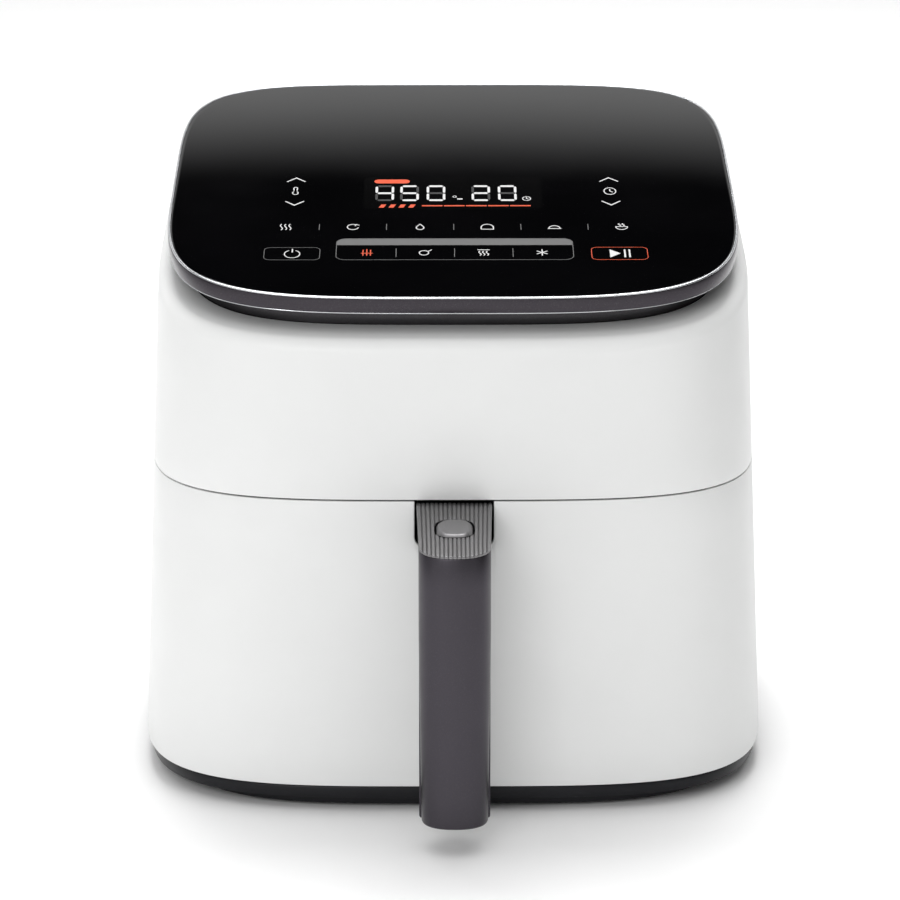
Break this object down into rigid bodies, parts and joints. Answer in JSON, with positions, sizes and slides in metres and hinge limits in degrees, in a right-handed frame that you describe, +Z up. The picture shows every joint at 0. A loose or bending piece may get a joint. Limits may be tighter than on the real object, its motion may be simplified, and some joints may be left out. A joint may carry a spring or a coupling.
{
  "type": "air fryer",
  "caption": "Countertop air fryer with a tapered white housing, a sloping dark glass control top and a pull-out basket drawer with an upright handle and a release button.",
  "frame": {"origin": "on the worktop, below the middle of the whole appliance with its handle", "axes": "+Z up, +Y from the user towards the back, so the drawer opens along -Y, and +X to the user's right"},
  "size_m": [0.3, 0.366, 0.2963],
  "materials": {
    "white_housing": "satin",
    "black_plastic": "satin",
    "black_rubber": "matte",
    "gunmetal_trim": "satin",
    "dark_trim": "satin",
    "black_glass": "gloss",
    "handle_grey": "satin",
    "nonstick_coat": "satin",
    "cavity_sheet": "satin",
    "bright_steel": "satin",
    "heater_tube": "satin",
    "motor_iron": "satin",
    "white_ceramic": "matte",
    "circuit_board": "satin"
  },
  "bodies": {
    "housing": {"outer_shell": "white_housing", "rear_exhaust_grille": "black_plastic", "rear_intake_grille": "black_plastic", "base_tray": "black_plastic", "front_frame": "black_plastic", "latch_keeper": "bright_steel", "cavity_liner": "cavity_sheet", "exhaust_duct": "cavity_sheet", "left_rail": "cavity_sheet", "right_rail": "cavity_sheet", "cord_gland": "black_rubber", "foot_front_left": "black_rubber", "foot_front_right": "black_rubber", "foot_rear_left": "black_rubber", "foot_rear_right": "black_rubber", "temperature_probe": "bright_steel", "thermal_cutout": "white_ceramic", "heater_terminal_block": "white_ceramic", "power_board": "circuit_board", "mains_transformer": "black_plastic", "heater_relay": "black_plastic", "filter_capacitor": "black_plastic", "drawer_sensor": "black_plastic", "heating_element": "heater_tube", "heater_guard": "bright_steel", "heat_reflector": "cavity_sheet", "fan_motor": "motor_iron", "motor_bracket": "bright_steel", "top_trim_ring": "gunmetal_trim", "lower_trim_band": "dark_trim", "glass_panel": "black_glass", "panel_carrier": "black_plastic", "display_module": "black_plastic", "control_board": "circuit_board"},
    "rotor": {"fan_shaft": "bright_steel", "convection_fan": "cavity_sheet", "cooling_fan": "black_plastic", "fan_nut": "bright_steel"},
    "drawer": {"drawer_front": "white_housing", "drawer_backing": "black_plastic", "basket": "nonstick_coat", "basket_bracket": "cavity_sheet", "handle_bridge": "black_plastic", "handle_top_cap": "handle_grey", "handle_grip_front": "handle_grey", "handle_grip_back": "handle_grey", "button_spring": "bright_steel", "drawer_magnet": "bright_steel", "left_bracket_screw": "bright_steel", "right_bracket_screw": "bright_steel"},
    "release": {"release_button": "handle_grey", "latch_hook": "bright_steel"},
    "crisper": {"crisper_plate": "nonstick_coat", "plate_bumper_right": "black_rubber", "plate_bumper_rear": "black_rubber", "plate_bumper_left": "black_rubber", "plate_bumper_front": "black_rubber"}
  },
  "joints": [
    {"name": "drawer_slide", "type": "slide", "parent": "housing", "child": "drawer", "axis": [0, -1, 0], "range_m": [0, 0.25]},
    {"name": "button_press", "type": "slide", "parent": "drawer", "child": "release", "axis": [0, 0, -1], "range_m": [0, 0.0026], "stiffness_N_per_m": 1500, "springref_m": -0.001, "deforming": ["button_spring"]},
    {"name": "crisper_lift", "type": "slide", "parent": "drawer", "child": "crisper", "axis": [0, 0, 1], "range_m": [0, 0.1]},
    {"name": "fan_spin", "type": "hinge", "parent": "housing", "child": "rotor", "pos_m": [0, 0.047, 0.21], "axis": [0, 0, 1], "continuous": true}
  ]
}
